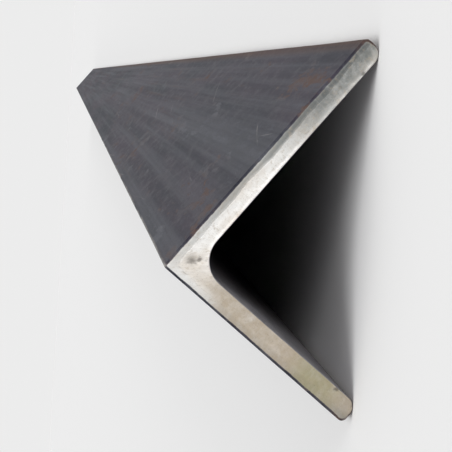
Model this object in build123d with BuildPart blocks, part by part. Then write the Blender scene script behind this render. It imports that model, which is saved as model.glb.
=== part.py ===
from build123d import *
import math
import os

# Hot-rolled unequal angle in steel, millimetres.
# The bar lies heel up on its two toes, its length along Y.
# The origin is under the middle of the bar, on the floor.

# Rolled section
long_leg = 100.0
short_leg = 80.0
thickness = 8.0
root_radius = 10.0        # hollow between the two inner faces
toe_radius = 4.5          # inner corner of each toe
toe_edge_radius = 2.0     # outer corner of each toe
heel_radius = 1.2

# Bar as it is sheared from the rolled length
stock_length = 6000.0
sheared_edge_radius = 0.8  # cut edges drawn over by the blade

# The toes touch the floor on arcs of one radius, so the floor runs parallel to
# the line between the centres of the two arcs.
long_leg_slope = math.atan2(short_leg - thickness, long_leg - thickness)
slope_cos = math.cos(long_leg_slope)
slope_sin = math.sin(long_leg_slope)

# Height of the sharp heel above the floor
heel_height = (
    (long_leg - toe_radius) * slope_sin
    + (thickness - toe_radius) * slope_cos
    + toe_radius
)

# How far each leg reaches sideways from the sharp heel
long_leg_reach = (
    (long_leg - toe_edge_radius) * slope_cos
    - toe_edge_radius * slope_sin
    + toe_edge_radius
)
short_leg_reach = (
    (short_leg - toe_edge_radius) * slope_sin
    - toe_edge_radius * slope_cos
    + toe_edge_radius
)
heel_offset = (short_leg_reach - long_leg_reach) / 2

# The section is drawn from its heel: the long leg along the plane's X, the
# short leg along its Y, and the bar along its normal.
section_plane = Plane(
    origin=(heel_offset, -stock_length / 2, heel_height),
    x_dir=(slope_cos, 0, -slope_sin),
    z_dir=(0, 1, 0),
)


def section_corner(x, y):
    """The section's corner nearest to a point."""
    return vertices().sort_by_distance((x, y, 0))[0]


os.makedirs("parts", exist_ok=True)

with BuildPart() as angle_section:
    with BuildSketch(section_plane):
        with BuildLine():
            Polyline(
                (0, 0),
                (long_leg, 0),
                (long_leg, thickness),
                (thickness, thickness),
                (thickness, short_leg),
                (0, short_leg),
                close=True,
            )
        make_face()
        fillet(section_corner(thickness, thickness), radius=root_radius)
        fillet(section_corner(long_leg, thickness), radius=toe_radius)
        fillet(section_corner(thickness, short_leg), radius=toe_radius)
        fillet(section_corner(long_leg, 0), radius=toe_edge_radius)
        fillet(section_corner(0, short_leg), radius=toe_edge_radius)
        fillet(section_corner(0, 0), radius=heel_radius)
    extrude(amount=stock_length)

    ends = faces().filter_by(Axis.Y)
    fillet(ends.edges(), radius=sheared_edge_radius)

angle_section.part.label = "angle_section"
export_step(angle_section.part, "parts/angle_section.step")
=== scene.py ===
import math

import bpy
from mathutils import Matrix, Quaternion, Vector
from mathutils.kdtree import KDTree


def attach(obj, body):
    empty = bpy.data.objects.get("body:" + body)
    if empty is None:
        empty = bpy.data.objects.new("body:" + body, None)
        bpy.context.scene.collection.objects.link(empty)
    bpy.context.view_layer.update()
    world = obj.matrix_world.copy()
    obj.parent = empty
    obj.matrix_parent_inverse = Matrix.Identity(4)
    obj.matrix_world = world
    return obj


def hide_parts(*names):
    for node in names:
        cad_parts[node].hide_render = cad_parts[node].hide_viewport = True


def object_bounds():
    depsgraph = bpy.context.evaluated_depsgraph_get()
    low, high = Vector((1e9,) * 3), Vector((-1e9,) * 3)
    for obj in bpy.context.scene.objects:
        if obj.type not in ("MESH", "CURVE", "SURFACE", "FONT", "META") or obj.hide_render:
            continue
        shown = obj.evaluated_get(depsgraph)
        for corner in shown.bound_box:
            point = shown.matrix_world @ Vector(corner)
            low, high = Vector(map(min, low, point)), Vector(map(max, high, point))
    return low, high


# A bar of hot-rolled unequal angle, heel up on its two toes and sheared square at both ends.
# Metres: the bar runs along Y, and the floor is at zero height.
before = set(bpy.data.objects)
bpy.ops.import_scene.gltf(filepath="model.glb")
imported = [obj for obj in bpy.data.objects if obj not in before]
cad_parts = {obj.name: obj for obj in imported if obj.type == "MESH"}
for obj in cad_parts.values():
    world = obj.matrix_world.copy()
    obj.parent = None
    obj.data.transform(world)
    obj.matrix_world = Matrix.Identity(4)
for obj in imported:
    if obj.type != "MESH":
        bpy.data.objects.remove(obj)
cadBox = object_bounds()
print("frame loaded, CAD box", [tuple(round(v, 4) for v in corner) for corner in cadBox])

millimetre = 0.001


# Helpers for node trees: a value is a number, a colour or another node's socket.

def addNode(tree, kind, inputs=None, **settings):
    made = tree.nodes.new(kind)
    for name, value in settings.items():
        setattr(made, name, value)
    for key, value in (inputs or {}).items():
        if isinstance(value, bpy.types.NodeSocket):
            tree.links.new(value, made.inputs[key])
        else:
            made.inputs[key].default_value = value
    return made


def calc(tree, operation, *values):
    return addNode(tree, "ShaderNodeMath", dict(enumerate(values)), operation=operation).outputs[0]


def chain(tree, operation, values):
    total = values[0]
    for value in values[1:]:
        total = calc(tree, operation, total, value)
    return total


def plus(tree, *values):
    return chain(tree, "ADD", values)


def times(tree, *values):
    return chain(tree, "MULTIPLY", values)


def most(tree, *values):
    return chain(tree, "MAXIMUM", values)


def minus(tree, first, second):
    return calc(tree, "SUBTRACT", first, second)


def over(tree, first, second):
    return calc(tree, "DIVIDE", first, second)


def absolute(tree, value):
    return calc(tree, "ABSOLUTE", value)


def vectorCalc(tree, operation, *values):
    made = addNode(tree, "ShaderNodeVectorMath", dict(enumerate(values)), operation=operation)
    return made.outputs[0]


def scaleVector(tree, vector, factor):
    made = addNode(tree, "ShaderNodeVectorMath", {0: vector, "Scale": factor}, operation="SCALE")
    return made.outputs[0]


def splitVector(tree, vector):
    return addNode(tree, "ShaderNodeSeparateXYZ", {0: vector}).outputs


def joinVector(tree, **parts):
    return addNode(tree, "ShaderNodeCombineXYZ", parts).outputs[0]


def ramp(tree, value, fromLow, fromHigh, toLow=0.0, toHigh=1.0):
    # an S-shaped step from one level to another
    made = addNode(tree, "ShaderNodeMapRange", {
        "Value": value, "From Min": fromLow, "From Max": fromHigh,
        "To Min": toLow, "To Max": toHigh,
    }, interpolation_type="SMOOTHSTEP")
    return made.outputs[0]


def noise(tree, vector, grain, detail, roughness, seed):
    spacing = over(tree, 1.0, grain) if isinstance(grain, bpy.types.NodeSocket) else 1.0 / grain
    made = addNode(tree, "ShaderNodeTexNoise", {
        "Vector": vector, "W": seed, "Scale": spacing, "Detail": detail, "Roughness": roughness,
    }, noise_dimensions="4D")
    return made.outputs[0]


def blendColour(tree, amount, first, second, way="MIX"):
    # the Mix node's inputs 6 and 7 are its two colours, and 2 and 3 its two plain values
    made = addNode(tree, "ShaderNodeMix", {0: amount, 6: first, 7: second},
                   data_type="RGBA", blend_type=way)
    return made.outputs[2]


def blendValue(tree, amount, first, second):
    return addNode(tree, "ShaderNodeMix", {0: amount, 2: first, 3: second}, data_type="FLOAT").outputs[0]


# The rolled section, and the mesh lines that fill it.

rolledSection = {
    "longLeg": 100.0 * millimetre,
    "shortLeg": 80.0 * millimetre,
    "thickness": 8.0 * millimetre,
    "rootRadius": 10.0 * millimetre,
    "toeRadius": 4.5 * millimetre,         # inner corner of each toe
    "toeEdgeRadius": 2.0 * millimetre,     # outer corner of each toe
    "heelRadius": 1.2 * millimetre,
    "arcSteps": 24,                        # straight steps that draw each corner arc
    "legStep": 0.75 * millimetre,          # spacing of the mesh lines along a leg
    "toeLines": (0.0, 0.15, 0.35, 0.6, 0.95, 1.4),     # millimetres from a toe's end
    "wallLines": (0.0, 0.15, 0.35, 0.6, 0.95, 1.4, 2.0, 2.8, 3.6,
                  4.4, 5.2, 6.0, 6.6, 7.05, 7.4, 7.65, 7.85, 8.0),     # millimetres from the outer face
    "heelSteps": 34,                       # mesh lines round the heel
    "heelCrowding": 1.7,                   # crowds them towards the heel's corner
    "toeFade": 12,                         # lines over which a toe's curve fades along the leg
    "outlineStep": 0.05 * millimetre,      # spacing at which distances to the outline are measured
}

barLength = cadBox[1].y - cadBox[0].y
legSlope = math.atan2(
    rolledSection["shortLeg"] - rolledSection["thickness"],
    rolledSection["longLeg"] - rolledSection["thickness"],
)


def heelPoint():
    # the sharp heel: its height from the toes that rest on the floor, its place from the box's middle
    s = rolledSection
    height = (
        (s["longLeg"] - s["toeRadius"]) * math.sin(legSlope)
        + (s["thickness"] - s["toeRadius"]) * math.cos(legSlope)
        + s["toeRadius"]
    )
    shift = (s["shortLeg"] * math.sin(legSlope) - s["longLeg"] * math.cos(legSlope)) / 2
    return Vector((shift, 0.0, height))


def toWorld(point):
    # from the section's own directions, along the long leg and along the short leg
    along, down = point
    heel = heelPoint()
    return Vector((
        heel.x + along * math.cos(legSlope) - down * math.sin(legSlope),
        0.0,
        heel.z - along * math.sin(legSlope) - down * math.cos(legSlope),
    ))


def arc(centre, radius, start, end):
    # points along an arc from one direction to another, in degrees
    steps = rolledSection["arcSteps"]
    turns = [math.radians(start + (end - start) * i / steps) for i in range(steps + 1)]
    return [(centre[0] + radius * math.cos(a), centre[1] + radius * math.sin(a)) for a in turns]


def sectionSides():
    # the outline in parts, which meet in the middle of the toes' corner arcs
    s = rolledSection
    a, b, t = s["longLeg"], s["shortLeg"], s["thickness"]
    root, toe, edge, heel = s["rootRadius"], s["toeRadius"], s["toeEdgeRadius"], s["heelRadius"]
    corner = t + root
    return {
        "outerLong": arc((a - edge, edge), edge, 315, 270) + [(corner, 0.0)],
        "outerHeel": [(corner, 0.0)] + arc((heel, heel), heel, 270, 180) + [(0.0, corner)],
        "outerShort": [(0.0, corner)] + arc((edge, b - edge), edge, 180, 135),
        "innerLong": arc((a - toe, t - toe), toe, 45, 90) + [(corner, t)],
        "innerHeel": arc((corner, corner), root, 270, 180),
        "innerShort": [(t, corner)] + arc((t - toe, b - toe), toe, 0, 45),
        "longEnd": arc((a - edge, edge), edge, 315, 360) + arc((a - toe, t - toe), toe, 0, 45),
        "shortEnd": arc((edge, b - edge), edge, 135, 90) + arc((t - toe, b - toe), toe, 90, 45),
    }


def resample(line, shares):
    # points at the given shares of a polyline's length
    lengths = [0.0]
    for first, second in zip(line, line[1:]):
        lengths.append(lengths[-1] + math.dist(first, second))
    points, k = [], 0
    for share in shares:
        want = share * lengths[-1]
        while k < len(line) - 2 and lengths[k + 1] < want:
            k += 1
        part = min(max((want - lengths[k]) / (lengths[k + 1] - lengths[k]), 0.0), 1.0)
        points.append(tuple(p + (q - p) * part for p, q in zip(line[k], line[k + 1])))
    return points


def resampleAll(lines, shares):
    points = resample(lines[0], shares[0])
    for line, share in zip(lines[1:], shares[1:]):
        points += resample(line, share)[1:]
    return points


def legShares(length):
    # close lines over the toe's rounding, then even ones
    start = [line * millimetre / length for line in rolledSection["toeLines"]]
    count = round((1 - start[-1]) * length / rolledSection["legStep"])
    return start + [start[-1] + (1 - start[-1]) * i / count for i in range(1, count + 1)]


def sectionGrid():
    # rows of points along both legs, each with its points through the wall
    s = rolledSection
    sides = sectionSides()
    corner = s["thickness"] + s["rootRadius"]
    longShares = legShares(s["longLeg"] - corner)
    shortShares = [1 - share for share in reversed(legShares(s["shortLeg"] - corner))]
    half = s["heelSteps"] // 2
    turns = range(-half, half + 1)
    innerTurn = [(i / half + 1) / 2 for i in turns]
    outerTurn = [(math.copysign(abs(i / half) ** s["heelCrowding"], i) + 1) / 2 for i in turns]
    outer = resampleAll(
        [sides["outerLong"], sides["outerHeel"], sides["outerShort"]], [longShares, outerTurn, shortShares])
    inner = resampleAll(
        [sides["innerLong"], sides["innerHeel"], sides["innerShort"]], [longShares, innerTurn, shortShares])
    walls = [line / s["wallLines"][-1] for line in s["wallLines"]]
    longEnd = resample(sides["longEnd"], walls)
    shortEnd = resample(sides["shortEnd"], walls)

    # how far along the legs each row lies, from the heel: the long leg counts as positive
    middles = [tuple((p + q) / 2 for p, q in zip(o, i)) for o, i in zip(outer, inner)]
    along = [0.0]
    for before, after in zip(middles, middles[1:]):
        along.append(along[-1] + math.dist(before, after))
    heelRow = len(longShares) - 1 + half
    along = [along[heelRow] - reach for reach in along]

    last = len(outer) - 1
    grid = []
    for i, (o, n) in enumerate(zip(outer, inner)):
        endPull = max(0.0, 1 - min(i, last - i) / s["toeFade"])
        end, curve = (0, longEnd) if i < last / 2 else (last, shortEnd)
        row = []
        for k, q in enumerate(walls):
            straight = [o[c] + (n[c] - o[c]) * q for c in (0, 1)]
            chord = [outer[end][c] + (inner[end][c] - outer[end][c]) * q for c in (0, 1)]
            row.append(tuple(straight[c] + (curve[k][c] - chord[c]) * endPull for c in (0, 1)))
        grid.append(row)
    return grid, along, walls


def denseOutline():
    # points all round the outline, each with its inward direction and how much the blade drew it over
    leftIn, leftOut = 1, -1
    described = {
        # where the line's left side faces, then the blade's share at its start and its end
        "outerLong": (leftOut, 1.0, 1.0),
        "outerHeel": (leftOut, 1.0, 1.0),
        "outerShort": (leftOut, 1.0, 1.0),
        "innerLong": (leftIn, 0.0, 0.0),
        "innerHeel": (leftIn, 0.0, 0.0),
        "innerShort": (leftIn, 0.0, 0.0),
        "longEnd": (leftIn, 1.0, 0.0),
        "shortEnd": (leftOut, 1.0, 0.0),
    }
    found = []
    for name, line in sectionSides().items():
        facing, startShare, endShare = described[name]
        length = sum(math.dist(p, q) for p, q in zip(line, line[1:]))
        count = int(length / rolledSection["outlineStep"])
        points = resample(line, [i / count for i in range(count + 1)])
        for i, point in enumerate(points):
            before, after = points[max(i - 1, 0)], points[min(i + 1, count)]
            tangent = Vector((after[0] - before[0], after[1] - before[1])).normalized()
            inward = Vector((-tangent.y, tangent.x)) * facing
            found.append((point, inward, startShare + (endShare - startShare) * i / count))
    return found


def roundOutline(grid):
    # how far round the outline each point of the rim lies, as a share of the whole way
    lines, deep = len(grid), len(grid[0])
    rim = [(i, 0) for i in range(lines)] + [(lines - 1, k) for k in range(1, deep)]
    rim += [(i, deep - 1) for i in reversed(range(lines - 1))]
    rim += [(0, k) for k in reversed(range(1, deep - 1))]
    steps = [math.dist(grid[i][k], grid[m][n]) for (i, k), (m, n) in zip(rim, rim[1:] + rim[:1])]
    return {point: sum(steps[:order]) / sum(steps) for order, point in enumerate(rim)}


def sectionMesh(material):
    # the near end's sheet, with what the rule below needs written on its points
    grid, along, walls = sectionGrid()
    outline = denseOutline()
    nearest = KDTree(len(outline))
    for i, (point, _, _) in enumerate(outline):
        nearest.insert((point[0], point[1], 0.0), i)
    nearest.balance()
    lines, deep = len(grid), len(walls)
    points, inwards = [], []
    turns = roundOutline(grid)
    values = {"edgeDistance": [], "drawnOver": [], "alongLeg": [], "throughWall": [], "roundOutline": []}
    for i, row in enumerate(grid):
        for k, (u, v) in enumerate(row):
            where = toWorld((u, v))
            where.y = -barLength / 2
            points.append(where)
            _, index, distance = nearest.find((u, v, 0.0))
            _, inward, share = outline[index]
            inwards.extend(toWorld(inward) - toWorld((0.0, 0.0)))
            values["edgeDistance"].append(0.0 if (i, k) in turns else distance)
            values["drawnOver"].append(share)
            values["alongLeg"].append(along[i])
            values["throughWall"].append(walls[k])
            values["roundOutline"].append(turns.get((i, k), 0.0))
    # the faces look into the bar, the way in which they are drawn out
    corners = [i * deep + k for i in range(lines - 1) for k in range(deep - 1)]
    faces = [(a, a + 1, a + deep + 1, a + deep) for a in corners]
    mesh = bpy.data.meshes.new("sectionSheet")
    mesh.from_pydata(points, [], faces)
    mesh.materials.append(material)
    mesh.update()
    for name, column in values.items():
        mesh.attributes.new(name, "FLOAT", "POINT").data.foreach_set("value", column)
    mesh.attributes.new("inward", "FLOAT_VECTOR", "POINT").data.foreach_set("vector", inwards)
    return mesh


# The bar: the section carried along its length, then worn by rolling and shearing.

rolledBar = {
    "inputs": {
        "Length": barLength,
        "Rows": 150,
        "Crowding": 4.0,                       # how strongly the rows crowd towards the ends
        "Drawn Width": 1.5 * millimetre,       # the blade draws the outer edge over by this much
        "Drawn Depth": 1.0 * millimetre,
        "Drawn Least": 0.22,                   # share of that on the edges that the blade left last
        "Drawn Grain": 11.0 * millimetre,
        "Burr Height": 0.3 * millimetre,
        "Burr Width": 0.9 * millimetre,
        "Burr Reach": 3.0 * millimetre,        # how far along the bar the cut is set back from its burr
        "Burr Spread": 0.35,                   # how far it goes round towards the edges drawn over
        "Burr Grain": 4.5 * millimetre,
        "Tear Depth": 0.22 * millimetre,       # roughness of the torn part of the cut
        "Tear Grain": 1.6 * millimetre,
        "Border Grain": 9.0 * millimetre,      # waver of the line where the tearing starts
        "Rim Start": 0.2 * millimetre,         # tearing and dents start this far inside the cut's outline
        "Rim End": 1.2 * millimetre,           # and are whole from here
        "Wave Height": 0.16 * millimetre,      # slow waves left by the rolls
        "Wave Grain": 55.0 * millimetre,
        "Scale Height": 0.05 * millimetre,
        "Scale Grain": 6.0 * millimetre,
        "Face Depth": 2.5 * millimetre,        # waves and scale fade out into the wall over this much
        "Seed": 4.0,
    },
    "noises": {
        # stretch along the bar (below one draws it out), detail, roughness, then the range it is read over
        # and the levels given at that range's two ends
        "Drawn": (1.0, 4.0, 0.6, 0.3, 0.7, 0.65, 1.15),
        "Burr": (1.0, 3.0, 0.65, 0.45, 0.75),
        "Tear": (1.0, 4.0, 0.62, 0.3, 0.72, 0.15, 1.0),
        "Border": (1.0, 3.0, 0.6, 0.3, 0.7, 0.26, 0.5),
        "Wave": (0.22, 2.0, 0.5, 0.3, 0.7),
        "Scale": (0.5, 4.0, 0.6),
    },
    "tornStep": (-0.05, 0.06),             # tearing sets in over this much of the wall, round its border
    "weldDistance": 0.001 * millimetre,
}

# Dents in the cut ends, in millimetres: end (-1 near, 1 far), place from the heel along the long leg
# and along the short leg, reach and depth.
cutDents = {
    "besideRoot": (-1, 7.7, 6.1, 2.3, 0.6),
    "besideRootTail": (-1, 9.6, 7.6, 1.4, 0.3),
    "longToeNick": (-1, 90.5, 7.7, 1.4, 0.9),
    "shortToeNick": (-1, 7.3, 70.5, 1.2, 0.5),
    "shortToeChip": (-1, 6.6, 78.6, 1.1, 0.5),
    "farHeelDent": (1, 5.2, 4.6, 1.5, 0.5),
    "farLegNick": (1, 57.0, 7.8, 1.6, 0.8),
    "farToeChip": (1, 4.0, 79.0, 1.4, 0.6),
}


def onEnd(tree, y, end):
    return calc(tree, "GREATER_THAN", times(tree, y, float(end)), 0.0)


def distanceFrom(tree, first, second, centre):
    aside, below = minus(tree, first, centre[0]), minus(tree, second, centre[1])
    return calc(tree, "SQRT", plus(tree, times(tree, aside, aside), times(tree, below, below)))


def dentField(tree, parts):
    dents = []
    for end, along, down, reach, depth in cutDents.values():
        centre = toWorld((along * millimetre, down * millimetre))
        away = distanceFrom(tree, parts["X"], parts["Z"], (centre.x, centre.z))
        hollow = ramp(tree, away, 0.0, reach * millimetre, depth * millimetre, 0.0)
        dents.append(times(tree, hollow, onEnd(tree, parts["Y"], end)))
    return plus(tree, *dents)


def meshField(tree, name, kind="FLOAT"):
    return addNode(tree, "GeometryNodeInputNamedAttribute", {"Name": name}, data_type=kind).outputs[0]


def reliefNoise(tree, given, name, place):
    stretch, detail, roughness, *step = rolledBar["noises"][name]
    stretched = vectorCalc(tree, "MULTIPLY", place, (1.0, stretch, 1.0))
    found = noise(tree, stretched, given[name + " Grain"], detail, roughness, given["Seed"])
    return ramp(tree, found, *step) if step else found


def drawRows(tree, given, half):
    # each turn of the loop draws the leading faces on to the next row
    start = addNode(tree, "GeometryNodeStoreNamedAttribute", {
        "Geometry": given["Section"], "Name": "leading", "Value": True,
    }, data_type="BOOLEAN", domain="FACE")
    loopIn = addNode(tree, "GeometryNodeRepeatInput")
    loopOut = addNode(tree, "GeometryNodeRepeatOutput")
    loopIn.pair_with_output(loopOut)
    tree.links.new(given["Rows"], loopIn.inputs["Iterations"])
    tree.links.new(start.outputs[0], loopIn.inputs["Geometry"])

    def rowPlace(index):
        # rows stand closer together towards both ends
        share = minus(tree, over(tree, times(tree, index, 2.0), given["Rows"]), 1.0)
        bent = calc(tree, "TANH", times(tree, share, given["Crowding"]))
        return over(tree, times(tree, bent, half), calc(tree, "TANH", given["Crowding"]))

    turn = loopIn.outputs["Iteration"]
    step = minus(tree, rowPlace(plus(tree, turn, 1.0)), rowPlace(turn))
    drawn = addNode(tree, "GeometryNodeExtrudeMesh", {
        "Mesh": loopIn.outputs["Geometry"], "Selection": meshField(tree, "leading", "BOOLEAN"),
        "Offset": joinVector(tree, Y=step), "Individual": False,
    }, mode="FACES")
    marked = addNode(tree, "GeometryNodeStoreNamedAttribute", {
        "Geometry": drawn.outputs["Mesh"], "Name": "leading", "Value": drawn.outputs["Top"],
    }, data_type="BOOLEAN", domain="FACE")
    tree.links.new(marked.outputs[0], loopOut.inputs["Geometry"])

    # the sheet itself, turned round, closes the near end
    nearEnd = addNode(tree, "GeometryNodeFlipFaces", {"Mesh": given["Section"]})
    joined = addNode(tree, "GeometryNodeJoinGeometry")
    tree.links.new(loopOut.outputs["Geometry"], joined.inputs[0])
    tree.links.new(nearEnd.outputs[0], joined.inputs[0])
    closed = addNode(tree, "GeometryNodeMergeByDistance", {
        "Geometry": joined.outputs[0], "Distance": rolledBar["weldDistance"],
    })
    return closed.outputs[0]


def drawnEdge(tree, given, here):
    # the edge that the blade drew over: a quarter of an ellipse between the long faces and the cut
    ragged = reliefNoise(tree, given, "Drawn", here["position"])
    share = ramp(tree, here["drawnOver"], 0.0, 1.0, given["Drawn Least"], 1.0)
    amount = times(tree, share, ragged)
    width = times(tree, given["Drawn Width"], amount)
    depth = times(tree, given["Drawn Depth"], amount)
    acrossCut = calc(tree, "MINIMUM", here["edgeDistance"], width)
    alongBar = calc(tree, "MINIMUM", here["fromEnd"], depth)
    eighthTurn = math.pi / 4
    turned = plus(tree, eighthTurn, minus(
        tree, times(tree, over(tree, acrossCut, width), eighthTurn),
        times(tree, over(tree, alongBar, depth), eighthTurn)))
    roundedWidth = times(tree, width, minus(tree, 1.0, calc(tree, "COSINE", turned)))
    roundedDepth = times(tree, depth, minus(tree, 1.0, calc(tree, "SINE", turned)))
    return minus(tree, roundedWidth, acrossCut), minus(tree, roundedDepth, alongBar)


def cutRelief(tree, given, here):
    # the cut: smooth where the blade slid, torn and lower past it, with dents
    cutPoint = joinVector(tree, X=here["X"], Y=here["Z"], Z=here["intoBar"])
    border = reliefNoise(tree, given, "Border", cutPoint)
    torn = ramp(tree, minus(tree, here["throughWall"], border), *rolledBar["tornStep"])
    tearing = times(tree, torn, reliefNoise(tree, given, "Tear", cutPoint))
    insideRim = ramp(tree, here["edgeDistance"], given["Rim Start"], given["Rim End"])
    relief = times(tree, tearing, given["Tear Depth"], insideRim)
    return plus(tree, relief, times(tree, dentField(tree, here), insideRim))


def burrSetBack(tree, given, here):
    # the cut is set back from the burr, which stands along the edges that the blade left last
    nearCut = ramp(tree, here["fromEnd"], 0.0, given["Burr Reach"], 1.0, 0.0)
    lastEdge = ramp(tree, here["drawnOver"], 0.0, given["Burr Spread"], 1.0, 0.0)
    burrEdge = times(tree, lastEdge, ramp(tree, here["edgeDistance"], 0.0, given["Burr Width"], 1.0, 0.0))
    burr = times(tree, reliefNoise(tree, given, "Burr", here["position"]), burrEdge, given["Burr Height"])
    return times(tree, minus(tree, given["Burr Height"], burr), nearCut)


def faceSink(tree, given, here):
    # the long faces: slow waves along the bar and the uneven skin of scale
    wave = times(tree, reliefNoise(tree, given, "Wave", here["position"]), given["Wave Height"])
    skin = times(tree, reliefNoise(tree, given, "Scale", here["position"]), given["Scale Height"])
    nearFace = ramp(tree, here["edgeDistance"], 0.0, given["Face Depth"], 1.0, 0.0)
    return times(tree, plus(tree, wave, skin), nearFace)


def barTree(material):
    tree = bpy.data.node_groups.new("rolledBarRule", "GeometryNodeTree")
    tree.interface.new_socket("Section", in_out="INPUT", socket_type="NodeSocketGeometry")
    for name, value in rolledBar["inputs"].items():
        kind = "NodeSocketInt" if isinstance(value, int) else "NodeSocketFloat"
        tree.interface.new_socket(name, in_out="INPUT", socket_type=kind)
    tree.interface.new_socket("Bar", in_out="OUTPUT", socket_type="NodeSocketGeometry")
    given = addNode(tree, "NodeGroupInput").outputs
    half = times(tree, given["Length"], 0.5)
    closed = drawRows(tree, given, half)

    # where each point lies on the bar
    here = {name: meshField(tree, name) for name in ("edgeDistance", "drawnOver", "throughWall")}
    here["position"] = addNode(tree, "GeometryNodeInputPosition").outputs[0]
    here.update(splitVector(tree, here["position"]).items())
    here["fromEnd"] = minus(tree, half, absolute(tree, here["Y"]))
    here["intoBar"] = times(tree, calc(tree, "SIGN", here["Y"]), -1.0)

    # all relief goes into the steel
    edgeIn, edgeAlong = drawnEdge(tree, given, here)
    moveIn = plus(tree, edgeIn, faceSink(tree, given, here))
    setBack = plus(tree, burrSetBack(tree, given, here), cutRelief(tree, given, here))
    moveAlong = plus(tree, edgeAlong, setBack)
    inward = scaleVector(tree, meshField(tree, "inward", "FLOAT_VECTOR"), moveIn)
    along = joinVector(tree, Y=times(tree, moveAlong, here["intoBar"]))
    shaped = addNode(tree, "GeometryNodeSetPosition", {
        "Geometry": closed, "Offset": vectorCalc(tree, "ADD", inward, along),
    })
    smooth = addNode(tree, "GeometryNodeSetShadeSmooth", {0: shaped.outputs[0]})
    realized = addNode(tree, "GeometryNodeRealizeInstances", {0: smooth.outputs[0]})
    dressed = addNode(tree, "GeometryNodeSetMaterial", {
        "Geometry": realized.outputs[0], "Material": material,
    })
    addNode(tree, "NodeGroupOutput", {"Bar": dressed.outputs[0]})
    return tree


# The surface laid flat on one sheet, for a finish painted on it: the two cuts unrolled along their legs,
# then the long faces of each half of the bar unrolled round the outline, with more room near the ends.

flatSheet = {
    "name": "OFBake",
    "gap": 0.005,                          # between the strips, as a share of the sheet
    "cutStrip": 0.075,                     # height of a cut's strip; the long faces share the rest
    "endReach": 300.0 * millimetre,        # length of the long faces that gets more room
    "endShare": 0.42,                      # how much of a strip is given to that
}


def placeFromEnd(fromEnd):
    # share of a strip's width, from an end of the bar to its middle
    s = flatSheet
    half = barLength / 2
    crowded = (1 - math.exp(-fromEnd / s["endReach"])) / (1 - math.exp(-half / s["endReach"]))
    return s["endShare"] * crowded + (1 - s["endShare"]) * fromEnd / half


def sheetStrips():
    # where each strip starts and its height, by whether it is a cut's and whether it is the far one
    s = flatSheet
    order = [(True, False), (True, True), (False, False), (False, True)]
    faceStrip = (1 - 2 * s["cutStrip"] - (len(order) + 1) * s["gap"]) / 2
    strips, start = {}, s["gap"]
    for onCut, far in order:
        height = s["cutStrip"] if onCut else faceStrip
        strips[onCut, far] = (start, height)
        start += height + s["gap"]
    return strips


def layFlat(mesh):
    read = {}
    for name in ("edgeDistance", "alongLeg", "throughWall", "roundOutline"):
        read[name] = [0.0] * len(mesh.vertices)
        mesh.attributes[name].data.foreach_get("value", read[name])
    low, high = min(read["alongLeg"]), max(read["alongLeg"])
    strips, gap = sheetStrips(), flatSheet["gap"]
    flat = []
    for face in mesh.polygons:
        corners = list(face.vertices)
        onCut = any(read["edgeDistance"][v] > 0 for v in corners)
        far = sum(mesh.vertices[v].co.y for v in corners) > 0
        if onCut:
            across = [(read["alongLeg"][v] - low) / (high - low) for v in corners]
            up = [read["throughWall"][v] for v in corners]
        else:
            across = [placeFromEnd(barLength / 2 - abs(mesh.vertices[v].co.y)) for v in corners]
            up = [read["roundOutline"][v] for v in corners]
            if max(up) - min(up) > 0.5:     # the face that closes the way round
                up = [turn + (turn < 0.5) for turn in up]
        start, height = strips[onCut, far]
        for u, v in zip(across, up):
            flat += (gap + (1 - 2 * gap) * u, start + height * v)
    mesh.uv_layers.new(name=flatSheet["name"]).uv.foreach_set("vector", flat)


def makeBar(material):
    sheet = sectionMesh(material)
    carrier = bpy.data.objects.new("sectionCarrier", sheet)
    bpy.context.scene.collection.objects.link(carrier)
    tree = barTree(material)
    modifier = carrier.modifiers.new("rolledBarRule", "NODES")
    modifier.node_group = tree
    for socket in tree.interface.items_tree:
        if socket.name in rolledBar["inputs"]:
            modifier[socket.identifier] = rolledBar["inputs"][socket.name]
    bpy.context.view_layer.update()
    evaluated = carrier.evaluated_get(bpy.context.evaluated_depsgraph_get())
    mesh = bpy.data.meshes.new_from_object(evaluated)
    mesh.name = "angleBar"
    layFlat(mesh)
    bar = bpy.data.objects.new("angleBar", mesh)
    bpy.context.scene.collection.objects.link(bar)
    bpy.data.objects.remove(carrier)
    bpy.data.meshes.remove(sheet)
    triangles = sum(len(face.vertices) - 2 for face in mesh.polygons)
    print("bar made,", len(mesh.vertices), "points,", triangles, "triangles")
    return bar


# How the finishes below are written down. A pattern: its stretch along the bar or through the wall
# (below one draws it out), its grain in millimetres, detail, roughness and seed. A place: the name of a
# pattern or mask, then the range it is read over, then the levels at the ends of that range (nothing to
# one where none are given). A mask: its places. A coat: its colour, its strength and its places.

def pattern(tree, point, given):
    stretch, grain, detail, roughness, seed = given
    stretched = vectorCalc(tree, "MULTIPLY", point, (1.0, stretch, 1.0))
    return noise(tree, stretched, grain, detail, roughness, seed)


def whereAll(tree, look, places):
    # as much as all the places together allow
    return times(tree, *[ramp(tree, look[name], *step) if step else look[name] for name, *step in places])


def layCoats(tree, finish, look):
    # each coat lies over the ones before it
    colour = finish[finish["base"]]
    for paint, strength, *places in finish["coats"].values():
        share = times(tree, whereAll(tree, look, places), strength)
        colour = blendColour(tree, share, colour, finish[paint])
    return colour


def weigh(tree, look, weights):
    return plus(tree, *[times(tree, look[name], weight) for name, weight in weights.items()])


def sectionPoint(tree):
    # millimetres from the heel: X along the long leg, Y along the bar, -Z along the short leg
    where = addNode(tree, "ShaderNodeTexCoord").outputs["Object"]
    mapping = addNode(tree, "ShaderNodeMapping", {
        "Vector": where, "Location": heelPoint(), "Rotation": (0.0, legSlope, 0.0),
        "Scale": (millimetre, millimetre, millimetre),
    }, vector_type="TEXTURE")
    return mapping.outputs[0]


# Mill scale on the rolled faces.

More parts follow.
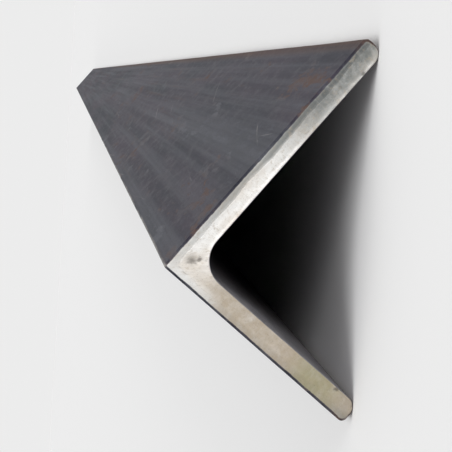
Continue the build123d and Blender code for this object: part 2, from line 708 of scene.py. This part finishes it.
millScale = {
    "blueBlack": (0.014, 0.018, 0.028, 1.0),
    "plumGrey": (0.041, 0.034, 0.050, 1.0),
    "thinScale": (0.105, 0.108, 0.126, 1.0),
    "rustBloom": (0.120, 0.058, 0.030, 1.0),
    "rubbedSteel": (0.430, 0.400, 0.380, 1.0),
    # paler grey of the inner faces: part bloom, part painted light
    "innerGrey": (0.300, 0.288, 0.304, 1.0),
    "patterns": {
        "clouds": (0.07, 30.0, 4.0, 0.55, 1.0),
        "bands": (0.006, 7.0, 4.0, 0.6, 2.0),
        "streaks": (0.05, 2.0, 4.0, 0.62, 3.0),
        "mottle": (0.3, 5.5, 6.0, 0.7, 4.0),
        "flakes": (0.22, 12.0, 7.0, 0.66, 5.0),
        "grain": (1.0, 0.8, 3.0, 0.6, 6.0),
        "specks": (1.0, 2.4, 3.0, 0.7, 7.0),
        "rustLines": (0.01, 4.5, 3.0, 0.6, 19.0),
        "handled": (0.15, 45.0, 2.0, 0.5, 20.0),
    },
    "innerEdge": (1.1, 0.5),               # millimetres outside the inner faces, where their look sets in
    "rubbedHeel": (0.3, 1.7, 1.0, 0.0),    # millimetres from the heel's two faces
    "rubbedToe": (-1.4, -0.2),             # millimetres past a toe's end
    "masks": {
        # each may name the ones before it
        "flaked": [("flakes", 0.575, 0.61)],
        "rusty": [("flaked",), ("clouds", 0.44, 0.6)],
        "brownToe": [("pastToe", -8.0, -1.5), ("bands", 0.36, 0.56)],
        "rubbed": [("corners",), ("streaks", 0.38, 0.6), ("mottle", 0.34, 0.55, 0.2, 0.8)],
        "scratched": [("scratches",), ("mottle", 0.38, 0.6, 0.12, 1.0), ("handled", 0.42, 0.58, 0.15, 1.0)],
    },
    "base": "blueBlack",
    "coats": {
        "plumClouds": ("plumGrey", 1.0, ("clouds", 0.36, 0.64)),
        "thinRuns": ("thinScale", 0.8, ("bands", 0.38, 0.7), ("mottle", 0.34, 0.62, 0.2, 1.0)),
        "paleStreaks": ("thinScale", 0.18, ("streaks", 0.5, 0.75)),
        "darkStreaks": ("blueBlack", 0.36, ("streaks", 0.26, 0.46, 1.0, 0.0)),
        "paleMottle": ("thinScale", 0.3, ("mottle", 0.52, 0.66)),
        "flakedOff": ("thinScale", 0.5, ("flaked",)),
        "rustInFlakes": ("rustBloom", 1.0, ("rusty",), ("mottle", 0.36, 0.6, 0.15, 0.6)),
        "rustSpecks": ("rustBloom", 0.5, ("specks", 0.60, 0.7), ("clouds", 0.42, 0.62)),
        "rustRuns": ("rustBloom", 0.24, ("rustLines", 0.56, 0.7), ("mottle", 0.38, 0.58)),
        # the sheltered inner faces keep a paler bloom; part of it is painted light, made lighter towards
        # the open ends where light reaches in
        "innerBloomAndPaintedLight": ("innerGrey", 1.0, ("innerSide",), ("mottle", 0.3, 0.6, 0.6, 0.95),
                       ("fromMiddle", 2350.0, 2900.0, 0.45, 1.0)),
        "brownToes": ("rustBloom", 0.5, ("brownToe",)),
        "rubbedBare": ("rubbedSteel", 1.0, ("rubbed",)),
        "handling": ("rubbedSteel", 0.42, ("scratched",)),
    },
    "grainShade": (0.35, 0.75, 0.0, 0.35),     # how the fine grain darkens all of it
    "scratches": {
        # cell, length and width in millimetres, heading and its spread in radians, share of cells, strength
        "long": (80.0, 130.0, 0.5, 0.08, 0.3, 0.5, 1.0),
        "short": (34.0, 40.0, 0.3, -0.4, 1.5, 0.34, 0.75),
    },
    "scratchScatter": 0.9,
    "scratchLeast": 0.3,                   # the shortest one, as a share of the length
    "scratchFade": 0.55,                   # they fade out past this share of their length
    "scratchBend": 3.0,                    # how far they bend, and over what grain, in millimetres
    "scratchWaver": 38.0,
    "innerLift": 500.0,                    # keeps the inner faces' scratches apart from the outer ones
    "roughness": (0.3, 0.7, 0.60, 0.82),   # read from the mottle
    "rustRoughness": 0.2,                  # added where it is rusty
    "toeRust": 0.6,                        # how much of that the brown toes get
    "metal": (0.18, 0.03),                 # scale, rust
    "rubbedMetal": 0.8,
    "relief": {"mottle": 0.5, "grain": 0.25, "streaks": 0.3, "flaked": -0.45, "scratched": -0.3},
}


def innerSide(tree, across, down):
    # one on the two inner faces, nothing on the outer ones
    wall = rolledSection["thickness"] / millimetre
    start, end = (wall - away for away in millScale["innerEdge"])
    return times(tree, ramp(tree, across, start, end), ramp(tree, down, start, end))


def scratchField(tree, place, cell, length, width, heading, spread, share, strength):
    # one short straight scratch in some cells, each with its own heading and length
    c = millScale
    cells = addNode(tree, "ShaderNodeTexVoronoi", {
        "Vector": place, "Scale": 1.0 / cell, "Randomness": c["scratchScatter"],
    })
    luck = addNode(tree, "ShaderNodeSeparateColor", {0: cells.outputs["Color"]}).outputs
    away = splitVector(tree, vectorCalc(tree, "SUBTRACT", place, cells.outputs["Position"]))
    turn = plus(tree, times(tree, minus(tree, luck[0], 0.5), spread), heading)
    cosine, sine = calc(tree, "COSINE", turn), calc(tree, "SINE", turn)
    along = plus(tree, times(tree, away["Y"], cosine), times(tree, away["X"], sine))
    aside = minus(tree, times(tree, away["X"], cosine), times(tree, away["Y"], sine))
    longest, shortest = length / 2, c["scratchLeast"] * length / 2
    reach = plus(tree, times(tree, luck[1], longest - shortest), shortest)
    fade = ramp(tree, over(tree, absolute(tree, along), reach), c["scratchFade"], 1.0, 1.0, 0.0)
    thin = ramp(tree, absolute(tree, aside), 0.0, width, 1.0, 0.0)
    return times(tree, fade, thin, calc(tree, "LESS_THAN", luck[2], share), strength)


def scratchesOn(tree, across, alongBar, down, inner):
    # the legs laid flat side by side, with the inner faces lifted away from the outer ones
    c = millScale
    lift = times(tree, inner, c["innerLift"])
    flat = joinVector(tree, X=minus(tree, across, down), Y=alongBar, Z=lift)
    waver = addNode(tree, "ShaderNodeTexNoise", {
        "Vector": flat, "Scale": 1 / c["scratchWaver"], "Detail": 1.0,
    })
    offset = vectorCalc(tree, "SUBTRACT", waver.outputs["Color"], (0.5, 0.5, 0.5))
    bend = (c["scratchBend"], c["scratchBend"], 0.0)
    bent = vectorCalc(tree, "ADD", flat, vectorCalc(tree, "MULTIPLY", offset, bend))
    return most(tree, *[scratchField(tree, bent, *given) for given in c["scratches"].values()])


def scaleLook(tree, point):
    c = millScale
    look = {name: pattern(tree, point, given) for name, given in c["patterns"].items()}
    parts = splitVector(tree, point)
    across, down = parts["X"], times(tree, parts["Z"], -1.0)
    longLeg, shortLeg = rolledSection["longLeg"] / millimetre, rolledSection["shortLeg"] / millimetre
    look["pastToe"] = most(tree, minus(tree, across, longLeg), minus(tree, down, shortLeg))
    look["corners"] = most(
        tree, ramp(tree, most(tree, across, down), *c["rubbedHeel"]),
        ramp(tree, look["pastToe"], *c["rubbedToe"]))
    look["fromMiddle"] = absolute(tree, parts["Y"])
    look["innerSide"] = innerSide(tree, across, down)
    look["scratches"] = scratchesOn(tree, across, parts["Y"], down, look["innerSide"])
    for name, places in c["masks"].items():
        look[name] = whereAll(tree, look, places)
    colour = layCoats(tree, c, look)
    grainShade = ramp(tree, look["grain"], *c["grainShade"])
    colour = blendColour(tree, grainShade, colour, c["blueBlack"], "MULTIPLY")

    rusted = most(tree, look["rusty"], times(tree, look["brownToe"], c["toeRust"]))
    bareMetal = times(tree, most(tree, look["rubbed"], look["scratched"]), c["rubbedMetal"])
    rough = plus(tree, ramp(tree, look["mottle"], *c["roughness"]), times(tree, rusted, c["rustRoughness"]))
    metal = most(tree, blendValue(tree, rusted, *c["metal"]), bareMetal)
    return {"colour": colour, "rough": rough, "metal": metal, "height": weigh(tree, look, c["relief"])}


# Bare steel on the cut ends, with its patterns laid along the leg and through the wall. Places along it
# are millimetres from the heel, above zero on the long leg and below it on the short one, and places
# through the wall are shares of it, from the outer side.

cutSteel = {
    "bright": (0.80, 0.79, 0.77, 1.0),
    "warm": (0.66, 0.61, 0.55, 1.0),
    "tan": (0.385, 0.320, 0.240, 1.0),
    "olive": (0.30, 0.28, 0.16, 1.0),
    "greenGrey": (0.155, 0.165, 0.160, 1.0),
    "shade": (0.090, 0.094, 0.096, 1.0),
    "smudge": (0.060, 0.050, 0.038, 1.0),
    "patterns": {
        "region": (1.6, 15.0, 4.0, 0.6, 11.0),
        "blotch": (1.0, 4.5, 5.0, 0.66, 12.0),
        "fleck": (1.0, 1.5, 4.0, 0.7, 13.0),
        "bladeLines": (0.13, 0.5, 4.0, 0.7, 14.0),
        "wideLines": (0.25, 2.4, 4.0, 0.65, 15.0),
        "speckle": (1.0, 0.45, 3.0, 0.7, 16.0),
        "waver": (0.3, 13.0, 2.0, 0.5, 17.0),
    },
    "endShift": 40.0,                      # moves the patterns apart on the two ends
    "tanLean": (0.2, 0.6, 5.0, 0.0),       # the tan starts further down the leg on the wall's outer side
    "olivePlace": -58.0,
    "slidBorder": 0.36,                    # share of the wall that the blade slid over
    "borderWaver": {"waver": 0.3, "fleck": 0.2},       # how far these patterns move that border
    "tearOffset": 0.015,                   # the tear's own line lies this much past the border
    # how much duller the slid band gets along the long leg, step by step
    "dullness": [(-2.0, 5.0, 0.1, 0.34), (5.0, 26.0, 0.0, 0.26), (26.0, 60.0, 0.0, 0.28)],
    "smudgeReach": 1.15,                   # as a share of a dent's own reach
    "smudgeWaver": 4.0,
    "masks": {
        "slid": [("pastBorder", -0.09, 0.08, 1.0, 0.0)],
        "tearLine": [("fromTear", 0.0, 0.04, 1.0, 0.0), ("along", -22.0, 4.0, 0.15, 1.0)],
        "pits": [("speckle", 0.58, 0.72)],
    },
    "base": "bright",
    "coats": {
        # bright beside the heel, tan then olive down the short leg, green-grey at both toes
        "warmPatches": ("warm", 0.8, ("region", 0.4, 0.66)),
        "tanLeg": ("tan", 0.9, ("fromTan", -18.0, 0.0, 1.0, 0.0), ("blotch", 0.3, 0.6, 0.66, 1.0)),
        "olivePatch": ("olive", 0.75, ("fromOlive", 2.0, 14.0, 1.0, 0.0),
                       ("region", 0.34, 0.55, 0.45, 1.0)),
        "shortToe": ("greenGrey", 1.0, ("along", -74.0, -64.0, 1.0, 0.0),
                     ("through", 0.1, 0.7, 0.55, 0.2)),
        "longToe": ("greenGrey", 1.0, ("along", 38.0, 73.0), ("blotch", 0.25, 0.6, 0.62, 1.0),
                    ("through", 0.55, 0.95, 0.95, 0.66)),
        # the band that the blade slid over is duller than the torn one, with a ragged line between them
        "slidBand": ("greenGrey", 1.0, ("slid",), ("dulled",)),
        "slidToe": ("shade", 0.6, ("slid",), ("along", 52.0, 88.0)),
        "tearShade": ("shade", 0.36, ("tearLine",), ("fleck", 0.4, 0.6)),
        # lines through the wall, light rust in flecks, pits, and dirt in the dents
        "paleLines": ("bright", 0.14, ("wideLines", 0.48, 0.75)),
        "tanLines": ("tan", 0.3, ("bladeLines", 0.48, 0.74)),
        "rustFlecks": ("tan", 0.42, ("fleck", 0.52, 0.68)),
        "darkPits": ("shade", 0.5, ("pits",)),
        "dirt": ("smudge", 0.72, ("dirt",)),
    },
    "roughness": (0.3, 0.7, 0.40, 0.56),   # read from the blotches
    "slidPolish": -0.08,                   # added where the blade slid
    "metal": (0.72, 0.1),                  # steel, dirt
    "fleckRelief": (0.8, 0.15),            # on the torn part, on the slid one
    "relief": {"bladeLines": 0.5, "wideLines": 0.4, "fleckHeight": 1.0, "pits": -0.4, "tearLine": -0.3},
}


def meshValue(tree, name):
    return addNode(tree, "ShaderNodeAttribute", attribute_name=name).outputs["Fac"]


def dirtInDents(tree, parts, fleck):
    spots = []
    smear = times(tree, minus(tree, fleck, 0.5), cutSteel["smudgeWaver"])
    for end, along, down, reach, _ in cutDents.values():
        away = distanceFrom(tree, parts["X"], parts["Z"], (along, -down))
        spot = ramp(tree, plus(tree, away, smear), 0.0, cutSteel["smudgeReach"] * reach, 1.0, 0.0)
        spots.append(times(tree, spot, onEnd(tree, parts["Y"], end)))
    return most(tree, *spots)


def cutLook(tree, point):
    c = cutSteel
    parts = splitVector(tree, point)
    along = over(tree, meshValue(tree, "alongLeg"), millimetre)
    through = meshValue(tree, "throughWall")
    wall = rolledSection["thickness"] / millimetre
    eachEnd = times(tree, calc(tree, "SIGN", parts["Y"]), c["endShift"])
    legPlace = joinVector(tree, X=along, Y=times(tree, through, wall), Z=eachEnd)
    look = {name: pattern(tree, legPlace, given) for name, given in c["patterns"].items()}
    look["along"], look["through"] = along, through
    look["fromTan"] = plus(tree, along, ramp(tree, through, *c["tanLean"]))
    look["fromOlive"] = absolute(tree, minus(tree, along, c["olivePlace"]))
    wavers = [times(tree, minus(tree, look[name], 0.5), much) for name, much in c["borderWaver"].items()]
    look["pastBorder"] = minus(tree, plus(tree, through, *wavers), c["slidBorder"])
    look["fromTear"] = absolute(tree, minus(tree, look["pastBorder"], c["tearOffset"]))
    look["dulled"] = plus(tree, *[ramp(tree, along, *step) for step in c["dullness"]])
    look["dirt"] = dirtInDents(tree, parts, look["fleck"])
    for name, places in c["masks"].items():
        look[name] = whereAll(tree, look, places)
    look["fleckHeight"] = times(tree, look["fleck"], blendValue(tree, look["slid"], *c["fleckRelief"]))
    colour = layCoats(tree, c, look)

    polish = times(tree, look["slid"], c["slidPolish"])
    rough = plus(tree, ramp(tree, look["blotch"], *c["roughness"]), polish)
    metal = blendValue(tree, look["dirt"], *c["metal"])
    return {"colour": colour, "rough": rough, "metal": metal, "height": weigh(tree, look, c["relief"])}


# The whole surface: bare steel on the cuts, and scale, which still covers the edge drawn over.

steelSurface = {
    # how far scale reaches on to a cut: from the edges that the blade left last, and from those drawn over
    "scaleReach": (0.12 * millimetre, 0.95 * millimetre),
    "bareFrom": (0.5, 1.1),                # shares of that reach over which the steel turns bare
    "raggedPattern": (1.0, 2.2, 4.0, 0.65, 18.0),
    "ragged": 0.9,
    "bumpStrength": 0.7,
    "bumpDistance": 0.15 * millimetre,
    "specular": 0.2,
}


def bareShare(tree, point):
    c = steelSurface
    ragged = times(tree, minus(tree, pattern(tree, point, c["raggedPattern"]), 0.5), c["ragged"])
    covered = ramp(tree, meshValue(tree, "drawnOver"), 0.0, 1.0, *c["scaleReach"])
    depthIn = over(tree, meshValue(tree, "edgeDistance"), covered)
    return ramp(tree, plus(tree, depthIn, ragged), *c["bareFrom"])


def steelMaterial():
    material = bpy.data.materials.new("rolledAndShearedSteel")
    material.use_nodes = True
    tree = material.node_tree
    tree.nodes.clear()
    point = sectionPoint(tree)
    scale, cut, bare = scaleLook(tree, point), cutLook(tree, point), bareShare(tree, point)
    bump = addNode(tree, "ShaderNodeBump", {
        "Height": blendValue(tree, bare, scale["height"], cut["height"]),
        "Strength": steelSurface["bumpStrength"], "Distance": steelSurface["bumpDistance"],
    })
    shader = addNode(tree, "ShaderNodeBsdfPrincipled", {
        "Base Color": blendColour(tree, bare, scale["colour"], cut["colour"]),
        "Roughness": blendValue(tree, bare, scale["rough"], cut["rough"]),
        "Metallic": blendValue(tree, bare, scale["metal"], cut["metal"]),
        "Specular IOR Level": steelSurface["specular"],
        "Normal": bump.outputs[0],
    })
    addNode(tree, "ShaderNodeOutputMaterial", {"Surface": shader.outputs[0]})
    return material


bar = makeBar(steelMaterial())
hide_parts("angle_section")
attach(bar, "root")
print("bar dressed in mill scale and cut steel")


# Studio: a pale floor under a pale sky, a soft lamp from above and a low one towards the near cut.

studio = {
    "floorColour": (0.88, 0.88, 0.88, 1.0),
    "floorRoughness": 0.9,
    "floorSpecular": 0.1,
    "floorReach": 60.0,
    "skyColour": (1.0, 1.0, 1.0, 1.0),
    "skyStrength": 0.62,
    "skySeen": 0.84,                       # as pale as the floor where they meet
    "lamps": {
        # where each comes from, strength, spread in degrees
        "softKey": ((-0.20, -0.60, 1.0), 1.1, 40.0),
        "lowFill": ((0.72, -1.00, 0.04), 2.1, 25.0),
    },
}


def makeFloor():
    reach = studio["floorReach"]
    corners = [(-reach, -reach, 0), (reach, -reach, 0), (reach, reach, 0), (-reach, reach, 0)]
    mesh = bpy.data.meshes.new("floor")
    mesh.from_pydata(corners, [], [(0, 1, 2, 3)])
    floor = bpy.data.objects.new("floor", mesh)
    bpy.context.scene.collection.objects.link(floor)
    paint = bpy.data.materials.new("palePaper")
    paint.use_nodes = True
    shader = paint.node_tree.nodes["Principled BSDF"]
    shader.inputs["Base Color"].default_value = studio["floorColour"]
    shader.inputs["Roughness"].default_value = studio["floorRoughness"]
    shader.inputs["Specular IOR Level"].default_value = studio["floorSpecular"]
    mesh.materials.append(paint)


def makeSky():
    world = bpy.data.worlds.new("studioSky")
    bpy.context.scene.world = world
    world.use_nodes = True
    tree = world.node_tree
    tree.nodes.clear()
    rays = addNode(tree, "ShaderNodeLightPath").outputs
    seen = most(tree, rays["Is Camera Ray"], rays["Is Glossy Ray"], rays["Is Transmission Ray"])
    strength = blendValue(tree, seen, studio["skyStrength"], studio["skySeen"])
    sky = addNode(tree, "ShaderNodeBackground", {"Color": studio["skyColour"], "Strength": strength})
    addNode(tree, "ShaderNodeOutputWorld", {"Surface": sky.outputs[0]})


def makeLamp(name, comesFrom, strength, spread):
    light = bpy.data.lights.new(name, "SUN")
    light.energy = strength
    light.angle = math.radians(spread)
    lamp = bpy.data.objects.new(name, light)
    lamp.rotation_mode = "QUATERNION"
    lamp.rotation_quaternion = Vector(comesFrom).to_track_quat("Z", "Y")
    bpy.context.scene.collection.objects.link(lamp)


makeFloor()
makeSky()
for lampName, lampSettings in studio["lamps"].items():
    makeLamp(lampName, *lampSettings)
print("floor, sky and lamps set")


# Camera: close to the sheared end, turned on its side so that the heel points left.

endView = {
    "place": (0.0463, -3.5479, 0.1003),
    "aim": (-0.0004, -3.0, 0.0463),
    "roll": -86.7,                         # degrees
    "lens": 135.0,
    "nearest": 0.01,
    "furthest": 100.0,
}


def makeCamera():
    data = bpy.data.cameras.new("endView")
    data.lens = endView["lens"]
    data.clip_start = endView["nearest"]
    data.clip_end = endView["furthest"]
    camera = bpy.data.objects.new("endView", data)
    camera.location = endView["place"]
    sight = Vector(endView["aim"]) - Vector(endView["place"])
    roll = Quaternion((0.0, 0.0, 1.0), math.radians(endView["roll"]))
    camera.rotation_mode = "QUATERNION"
    camera.rotation_quaternion = sight.to_track_quat("-Z", "Y") @ roll
    bpy.context.scene.collection.objects.link(camera)
    bpy.context.scene.camera = camera


makeCamera()
bpy.context.scene.view_settings.view_transform = "Standard"
print("camera set")
